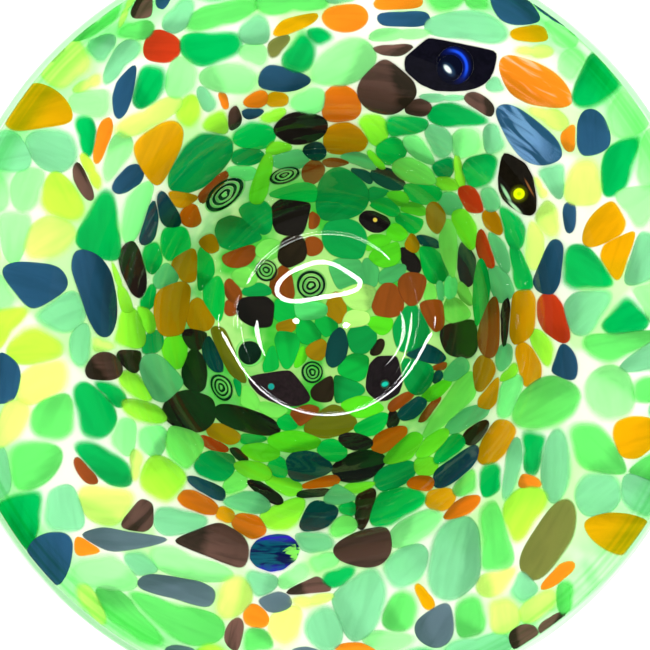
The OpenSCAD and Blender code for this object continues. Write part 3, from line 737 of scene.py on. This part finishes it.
def on_surface(centre, u, v):
    """Plan points at distances u up the slope and v round the bowl from a plan point, along the surface."""
    start_r, turn = np.hypot(*centre), math.atan2(centre[1], centre[0])
    start_run = np.interp(start_r, mid[:, 0], mid_run)
    if start_run < floor_r:
        radial = np.array([math.cos(turn), math.sin(turn)])
        side = np.array([-radial[1], radial[0]])
        flat_xy = centre + np.outer(u, radial) + np.outer(v, side)
        far = np.hypot(flat_xy[:, 0], flat_xy[:, 1])
        shrink = np.where(far > floor_r, np.interp(far, mid_run, mid[:, 0]) / np.maximum(far, 1e-9), 1.0)
        return flat_xy * shrink[:, None]
    r = np.interp(start_run + u, mid_run, mid[:, 0])
    angle = turn + v / start_r
    return np.column_stack([r * np.cos(angle), r * np.sin(angle)])


def slice_frame(names):
    """Middle plan point and in-surface radius of a round slice, from its CAD nodes."""
    pts = np.vstack([mesh_arrays(n)[0] for n in names])
    low, high = pts.min(0), pts.max(0)
    centre = (low[:2] + high[:2]) / 2
    a = math.atan2(centre[1], centre[0])
    along = pts[:, :2] @ np.array([-math.sin(a), math.cos(a)])
    return centre, (along.max() - along.min()) / 2


dark_cane = chip_glass("dark_cane_glass", linear(8, 42, 26), linear(8, 42, 26), 0.97, 0.4)
# The green cane is paler at the lip than near the floor: painted backlight there, as on the chips
green_cane = chip_glass("green_cane_glass", linear(125, 222, 112), linear(150, 232, 140), 0.88, 0.3)
# Outer edges of a ring murrina's core and rings, as shares of its radius: a green core, then dark and green
# rings in turn
SHARES = [0.15, 0.34, 0.46, 0.63, 0.74, 0.94, 1.0]
# How a ring's edge wanders: waves round it, and their size as a share of the radius
WANDER = ((1, 0.030), (2, 0.028), (3, 0.018), (5, 0.008))
RING_POINTS = 72
SHARP = 0.05 * MM  # rounding of an edge that is fused to its neighbour
ring_angle = np.arange(RING_POINTS) * TAU / RING_POINTS
ring_dir = np.column_stack([np.cos(ring_angle), np.sin(ring_angle)])


def wobbly(share, seed):
    """Radius share of a ring's edge at each angle; inner rings wander more than outer ones."""
    rng = np.random.default_rng(seed)
    out = np.full(RING_POINTS, share)
    for k, size in WANDER:
        out += size * (1.15 - 0.9 * share) * np.sin(k * ring_angle + rng.uniform(0, TAU))
    return out


def ring_loop(centre, radii):
    """Plan loop of a ring's edge on the surface, from its radius at each angle or all round."""
    return on_surface(centre, radii * ring_dir[:, 0], radii * ring_dir[:, 1])


for i in range(1, 7):
    pair = [f"ring_murrina_{i}_dark", f"ring_murrina_{i}_green"]
    centre, radius = slice_frame(pair)
    loops = [ring_loop(centre, wobbly(share, 100 + i) * radius) for share in SHARES[:-1]]
    loops.append(ring_loop(centre, radius))
    dark_build, green_build = Build(), Build()
    slab(green_build, loops[0], round_out=SHARP, seed=i)
    for k in range(1, len(SHARES)):
        target = dark_build if k % 2 else green_build
        edge = 0.4 * MM if k == len(SHARES) - 1 else SHARP
        slab(target, loops[k], loops[k - 1], round_out=edge, round_in=SHARP, seed=i + k)
    dark_build.piece(f"ring_murrina_{i}_dark_rings", [dark_cane], "murrina_dark", [pair[0]])
    green_build.piece(f"ring_murrina_{i}_green_rings", [green_cane], "murrina_green", [pair[1]])

centre, radius = slice_frame(["lens_murrina_ring"])
ring_in = ring_loop(centre, radius * wobbly(0.84, 7))
one_slab("lens_murrina_core", dark_cane, "lens_dark", "lens_murrina_dark", ring_in, round_out=SHARP, seed=3)
one_slab("lens_murrina_rim", green_cane, "lens_ring", "lens_murrina_ring", ring_loop(centre, radius), ring_in,
         round_out=0.3 * MM, round_in=SHARP, seed=4)

EYES = {
    # slice: (its dark glass, its core)
    "blue_eye": ((18, 17, 28), (10, 14, 34)),
    "yellow_eye": ((26, 22, 14), (96, 100, 10)),
    "turquoise_eye": ((30, 24, 26), (22, 60, 56)),
    "small_eye": ((38, 28, 30), (20, 160, 150)),
    "gold_eye": ((26, 22, 22), (235, 205, 80)),
}
YELLOW_EYE_STREAKS = [
    # colour, share, place from the eye's middle in mm, turn, half width in mm
    ((170, 225, 170), 1.0, (-5.0, 0.2), 120, 0.6),
    ((190, 235, 185), 1.0, (-1.4, -5.4), 135, 0.6),
    ((150, 96, 50), 0.9, (4.0, 2.4), 118, 0.35),
]


def ray_loop(outline, centre, n):
    """Where rays from the centre leave a convex outline, at n even angles."""
    closed = np.vstack([outline, outline[:1]]) - centre
    out = []
    for a in np.arange(n) * TAU / n:
        d = np.array([math.cos(a), math.sin(a)])
        p, q = closed[:-1], closed[1:]
        e = q - p
        cross = d[0] * e[:, 1] - d[1] * e[:, 0]
        with np.errstate(divide="ignore", invalid="ignore"):
            t = (p[:, 0] * e[:, 1] - p[:, 1] * e[:, 0]) / cross
            s = (p[:, 0] * d[1] - p[:, 1] * d[0]) / cross
        hit = (t > 0) & (s >= -1e-9) & (s <= 1 + 1e-9)
        out.append(centre + d * t[hit].max())
    return np.array(out)


def turned_plan(tree, centre, turn):
    """Plan coordinates from a centre: along an axis at a turn in degrees, and across it."""
    local = node(tree, "ShaderNodeVectorMath", {0: object_place(tree), 1: (centre[0], centre[1], 0.0)},
                 operation="SUBTRACT").outputs[0]
    turned = node(tree, "ShaderNodeVectorRotate", {"Vector": local, "Angle": -math.radians(turn)},
                  rotation_type="Z_AXIS").outputs[0]
    parts = node(tree, "ShaderNodeSeparateXYZ", {0: turned}).outputs
    return parts[0], parts[1]


def spot_mask(tree, centre, turn, half_long, half_wide, soft):
    """1 inside an ellipse of the plan, fading to 0 outside it."""
    along, over = turned_plan(tree, centre, turn)
    far = length(tree, maths(tree, "DIVIDE", along, half_long), maths(tree, "DIVIDE", over, half_wide))
    return ramp(tree, far, 1.0 + soft, 1.0 - soft)


def arc_mask(tree, centre, radius, half_wide, turn, half_span):
    """1 along an arc round a centre of the plan, fading at its sides and its ends."""
    along, over = turned_plan(tree, centre, turn)
    off = maths(tree, "ABSOLUTE", maths(tree, "SUBTRACT", length(tree, along, over), radius))
    angle = maths(tree, "ABSOLUTE", maths(tree, "ARCTAN2", over, along))
    span = math.radians(half_span)
    return product(tree, ramp(tree, off, half_wide, half_wide * 0.2), ramp(tree, angle, span, span * 0.4))


def inlaid_glass(name, base, spots, opacity=0.96, streaks=0.25, arcs=()):
    """Dark glass with soft-edged spots: (colour, share, centre, turn, half length, half width, softness), and
    arcs: (colour, centre, radius, half width, turn, half span)."""
    material, tree = nodes_of(name)
    smear = noise(tree, object_place(tree), 420.0, 3.0, 1.2)
    tint = blend(tree, ramp(tree, smear, 0.35, 0.7, 0.0, streaks * 2), base, darker(base, 0.3))
    for colour, share, *spot in spots:
        tint = blend(tree, product(tree, spot_mask(tree, *spot), share), tint, colour)
    for colour, *arc in arcs:
        tint = blend(tree, arc_mask(tree, *arc), tint, colour)
    glass_body(tree, tint, tint, opacity, 0.4)
    return material


def middle_and_radius(points):
    """Middle and mean radius of the box round plan points."""
    return (points.min(0) + points.max(0)) / 2, (points.max(0) - points.min(0)).mean() / 2


for name, (colour, core) in EYES.items():
    outline = softened(hull(mesh_arrays(f"{name}_slice")[0][:, :2]), 0.8 * MM)
    core_points = mesh_arrays(f"{name}_core")[0][:, :2]
    eye_points = core_points
    if name == "blue_eye":
        eye_points = np.vstack([core_points, mesh_arrays("blue_eye_crescent")[0][:, :2]])
    middle, radius = middle_and_radius(eye_points)
    circle = middle + radius * ring_dir
    inlays, core_inlays = [], []
    if name == "turquoise_eye":
        core_inlays = [(linear(24, 196, 168), 1.0, middle, 20, 0.8 * radius, 0.55 * radius, 0.25)]
    if name == "yellow_eye":
        inlays = [(linear(96, 100, 10), 0.7, middle, 0, 1.2 * radius, 1.2 * radius, 0.25)]
        for tone, share, offset, turn, half_wide in YELLOW_EYE_STREAKS:
            inlays.append((linear(*tone), share, middle + np.array(offset) * MM, turn, 3.4 * MM,
                           half_wide * MM, 0.5))
        core_inlays = [(linear(232, 250, 10), 1.0, middle, 0, 0.8 * radius, 0.8 * radius, 0.12),
                       (linear(190, 215, 5), 0.9, middle, 0, 0.3 * radius, 0.3 * radius, 0.4)]
    one_slab(f"{name}_dark_glass", inlaid_glass(f"{name}_slice_glass", linear(*colour), inlays, 0.98),
             f"{name}_slice", f"{name}_slice", ray_loop(outline, middle, RING_POINTS), circle,
             round_out=0.9 * MM, round_in=SHARP, seed=11)
    core_loop = circle
    if name == "blue_eye":
        core_mid, core_r = middle_and_radius(core_points)
        core_r = min(core_r, radius - 0.12 * MM - np.linalg.norm(core_mid - middle))
        core_loop = core_mid + core_r * ring_dir
        arcs = [(linear(14, 30, 110), core_mid, core_r + 1.3 * MM, 2.4 * MM, 25, 110),
                (linear(32, 84, 235), core_mid, core_r + 1.5 * MM, 0.9 * MM, 30, 75)]
        one_slab("blue_eye_blue_crescent", inlaid_glass("crescent_glass", linear(12, 13, 30), [], arcs=arcs),
                 "blue_eye_crescent", "blue_eye_crescent", circle, core_loop, round_out=SHARP, round_in=SHARP,
                 seed=6)
        # Painted highlight: a white spot in a soft blue-grey glow stands for a lamp's reflection on the core
        painted_glint_glow, light = core_mid + np.array([-0.4, -0.8]) * MM, core_mid + np.array([-0.9, -0.6]) * MM
        core_inlays = [(linear(40, 66, 96), 0.9, painted_glint_glow, -48, 2.8 * MM, 1.6 * MM, 0.5),
                       (linear(235, 248, 245), 1.0, light, -48, 1.9 * MM, 0.9 * MM, 0.4)]
    one_slab(f"{name}_core_glass", inlaid_glass(f"{name}_eye_glass", linear(*core), core_inlays, 0.95, 0.05),
             f"{name}_core", f"{name}_core", core_loop, round_out=SHARP, seed=5)


def cobalt_glass(name, green_from, green_to, outline):
    """Cobalt and petrol glass in smeared bands, violet at its long sides, with a feathered green from +X."""
    material, tree = nodes_of(name)
    low, high = outline.min(0), outline.max(0)
    place = object_place(tree)
    parts = node(tree, "ShaderNodeSeparateXYZ", {0: place}).outputs
    # along and over run from -1 to 1 across the slice
    along = ramp(tree, parts[0], low[0], high[0], -1.0, 1.0, smooth=False)
    over = maths(tree, "ABSOLUTE", ramp(tree, parts[1], low[1], high[1], -1.0, 1.0, smooth=False))
    smear = noise(tree, place, (90.0, 420.0, 0.0), 3.0, 1.0)
    tint = blend(tree, ramp(tree, smear, 0.4, 0.6), linear(12, 24, 74), linear(14, 92, 108))
    violet = product(tree, ramp(tree, over, 0.45, 0.85), ramp(tree, smear, 0.7, 0.4))
    tint = blend(tree, violet, tint, linear(52, 34, 190))
    fingers = total(tree, along, ramp(tree, smear, 0.35, 0.65, -0.55, 0.55))
    green = product(tree, ramp(tree, fingers, green_from, green_to), ramp(tree, over, 0.75, 0.5))
    tint = blend(tree, green, tint, linear(140, 236, 96))
    glass_body(tree, tint, tint, 0.95, 0.45)
    return material


streak_part = mesh_arrays("cobalt_streak")[0][:, :2]
cobalt = softened(hull(np.vstack([mesh_arrays("cobalt_slice")[0][:, :2], streak_part])), 0.8 * MM)
one_slab("cobalt_glass", cobalt_glass("cobalt_slice_glass", 0.9, 1.3, cobalt), "cobalt_slice", "cobalt_slice",
         resampled(cobalt, 64)[0], seed=9)
one_slab("cobalt_green_streak", cobalt_glass("cobalt_streak_glass", 0.1, 0.5, cobalt),
         "cobalt_streak", "cobalt_streak", resampled(softened(hull(streak_part), 0.5 * MM), 48)[0],
         seed=9, fill=1.03, round_out=0.3 * MM)

# ---------------------------------------------------------------- floor, light, camera


def stage_mesh(name, points, faces, material):
    """A mesh that belongs to the stage and not to the bowl."""
    mesh = bpy.data.meshes.new(name)
    mesh.from_pydata(points, [], faces)
    mesh.materials.append(material)
    made = bpy.data.objects.new(name, mesh)
    bpy.context.scene.collection.objects.link(made)
    return made


def polygon(count, half_x, half_y=None):
    """Plan points round a circle, or round an ellipse."""
    return [(half_x * math.cos(a), (half_y or half_x) * math.sin(a)) for a in np.arange(count) * TAU / count]


FLOOR_R, FLOOR_Z, FLOOR_SIDES = 9.0, -0.2 * MM, 64
stage_mesh("floor", [(x, y, FLOOR_Z) for x, y in polygon(FLOOR_SIDES, FLOOR_R)], [tuple(range(FLOOR_SIDES))],
           one_shader("floor_white", "ShaderNodeBsdfDiffuse", {"Color": (0.88, 0.88, 0.87, 1)}))

# A plain white surrounding, dimmer where it is mirrored
WORLD_LIGHT, WORLD_MIRRORED = 0.85, 0.1
world = bpy.data.worlds.new("studio")
bpy.context.scene.world = world
world.use_nodes = True
sky = world.node_tree
background = sky.nodes["Background"]
background.inputs["Color"].default_value = WHITE
in_mirror = node(sky, "ShaderNodeLightPath").outputs["Is Glossy Ray"]
dimmer = node(sky, "ShaderNodeMapRange", {"Value": in_mirror, "To Min": WORLD_LIGHT,
                                          "To Max": WORLD_MIRRORED})
sky.links.new(dimmer.outputs[0], background.inputs["Strength"])

# One wide, soft lamp overhead, which doesn't show in reflections
KEY_PLACE, KEY_POWER, KEY_WIDTH = Vector((0.2, 0.3, 2.8)), 128, 2.2
key_data = bpy.data.lights.new("soft_overhead", "AREA")
key_data.energy = KEY_POWER
key_data.shape = "DISK"
key_data.size = KEY_WIDTH
key = bpy.data.objects.new("soft_overhead", key_data)
bpy.context.scene.collection.objects.link(key)
key.location = KEY_PLACE
key.rotation_mode = "QUATERNION"
key.rotation_quaternion = KEY_PLACE.to_track_quat("Z", "Y")
key.visible_camera = key.visible_glossy = False

# The camera looks straight down, a little off the bowl's axis
LIP_VIEW = 257.425743 * MM  # width of the view at the height of the lip
DISTANCE = 2.0  # from the camera to the lip
OFF_X, OFF_Y = -0.7920792 * MM, -1.5841584 * MM
SENSOR = 36.0
centre_x, centre_y = (cad_low.x + cad_high.x) / 2, (cad_low.y + cad_high.y) / 2
camera_data = bpy.data.cameras.new("camera")
camera = bpy.data.objects.new("camera", camera_data)
bpy.context.scene.collection.objects.link(camera)
camera.location = (centre_x + OFF_X, centre_y + OFF_Y, cad_high.z + DISTANCE)
camera_data.sensor_width = SENSOR
camera_data.lens = SENSOR * DISTANCE / LIP_VIEW
camera_data.clip_start = 0.05
camera_data.clip_end = 60
bpy.context.scene.camera = camera


def emitter(name, points, faces, material):
    """A stage mesh that shows only in reflections."""
    made = stage_mesh(name, points, faces, material)
    made.visible_camera = made.visible_shadow = False
    made.visible_diffuse = made.visible_transmission = False


def glow(name, strength):
    """A material that shines white."""
    return one_shader(name, "ShaderNodeEmission", {"Color": WHITE, "Strength": strength})


def band(n, closed):
    """Faces between two rows of n points each, one row after the other."""
    return [(i, (i + 1) % n, n + (i + 1) % n, n + i) for i in range(n if closed else n - 1)]


def strip(name, line, width, material, closed=False):
    """A flat glowing band along a level line of (x, y, z) points, with one width or one for each point."""
    line = np.array(line)
    ahead = np.roll(line, -1, axis=0) - np.roll(line, 1, axis=0) if closed else np.gradient(line, axis=0)
    side = np.column_stack([-ahead[:, 1], ahead[:, 0], np.zeros(len(line))])
    side *= (np.broadcast_to(width, len(line)) / 2 / np.linalg.norm(side, axis=1))[:, None]
    emitter(name, np.vstack([line + side, line - side]).tolist(), band(len(line), closed), material)


# Lamps that show only as reflections in the bowl's level floor. Their outlines are given as they appear
# there, in mm from the camera's axis, and mirror is the scale that brings them to the lamps' own height.
EYE_Z = 1.1
mirror = (camera.location.z + EYE_Z - 2 * floor_z) / (camera.location.z - floor_z)


def mirrored(points):
    """Level points at the lamps' height, from (x, y) outlines as they appear in the bowl's floor."""
    return [(camera.location.x + x * MM * mirror, camera.location.y + y * MM * mirror, EYE_Z)
            for x, y in points]


RING_LAMP = [(-20.6, 14.4), (-17.3, 19.8), (-11.6, 23.1), (-2.5, 26.4), (4.1, 24.8), (10.7, 21.0),
             (15.3, 17.7), (13.2, 14.0), (5.8, 12.4), (-3.3, 11.1), (-11.6, 9.5), (-17.7, 10.3)]
STROKE_LAMPS = [
    # line, width at each of its points, strength
    ([(-28.1, 2.0), (-28.3, -1.5), (-27.6, -5.5), (-26.6, -9.0), (-25.0, -12.6)],
     [0.6, 2.2, 2.0, 1.2, 0.3], 24.0),
    ([(31.6, 5.5), (33.0, 1.5), (33.2, -3.0), (32.0, -8.0), (29.5, -12.5), (25.5, -16.5)],
     [0.4, 1.6, 1.9, 1.3, 0.8, 0.3], 20.0),
]
BRIGHT = 30.0
ring_line = np.array(RING_LAMP)
for _ in range(3):  # each pass cuts its corners
    ahead = np.roll(ring_line, -1, axis=0)
    ring_line = np.stack([0.75 * ring_line + 0.25 * ahead, 0.25 * ring_line + 0.75 * ahead], 1).reshape(-1, 2)
strip("ring_lamp", mirrored(ring_line), 1.75 * MM * mirror, glow("ring_lamp_glow", BRIGHT), closed=True)
for k, (line, widths, strength) in enumerate(STROKE_LAMPS, 1):
    strip(f"stroke_lamp_{k}", mirrored(line), np.array(widths) * MM * mirror,
          glow(f"stroke_glow_{k}", strength))
SPOT_SIDES, SPOT_X, SPOT_Y = 24, 1.45, 1.25
for k, (x, y) in enumerate(((-12.0, 1.7), (8.7, 0.0)), 1):
    emitter(f"spot_lamp_{k}", mirrored([(x + dx, y + dy) for dx, dy in polygon(SPOT_SIDES, SPOT_X, SPOT_Y)]),
            [tuple(range(SPOT_SIDES))], glow(f"spot_glow_{k}", BRIGHT))

# A long straight tube far up shows as the arc along the heel, and two small lamps as streaks at its sides
FAR_Z = 1.9
TUBE_Y, TUBE_HALF, TUBE_WIDTH = 0.14, 1.2, 0.06
strip("tube_lamp", [(x, TUBE_Y, FAR_Z) for x in np.linspace(-TUBE_HALF, TUBE_HALF, 60)], TUBE_WIDTH,
      glow("tube_glow", BRIGHT))
SIDE_X, SIDE_FROM, SIDE_TO = 1.62, -0.1, 0.12
SIDE_WIDTHS = np.array([0.05, 0.14, 0.2, 0.2, 0.14, 0.05])
for k, x in enumerate((SIDE_X, -SIDE_X), 1):
    line = [(x, y, FAR_Z) for y in np.linspace(SIDE_FROM, SIDE_TO, len(SIDE_WIDTHS))]
    strip(f"side_lamp_{k}", line, SIDE_WIDTHS, glow(f"side_glow_{k}", BRIGHT))

# A black ring just over the bowl keeps the lamps out of the lip, whose shallow slope would spread them wide
FLAG_IN, FLAG_OUT, FLAG_OVER, FLAG_SIDES = 0.064, 0.165, 0.035, 96
flag = [(centre_x + x, centre_y + y, cad_high.z + FLAG_OVER)
        for r in (FLAG_IN, FLAG_OUT) for x, y in polygon(FLAG_SIDES, r)]
emitter("flag", flag, band(FLAG_SIDES, True),
        one_shader("flag_black", "ShaderNodeBsdfDiffuse", {"Color": (0, 0, 0, 1)}))

scene = bpy.context.scene
scene.view_settings.view_transform = "Standard"
scene.cycles.use_denoising = True
scene.cycles.max_bounces = 16
scene.cycles.transparent_max_bounces = 32
scene.cycles.transmission_bounces = 8
scene.cycles.diffuse_bounces = 6
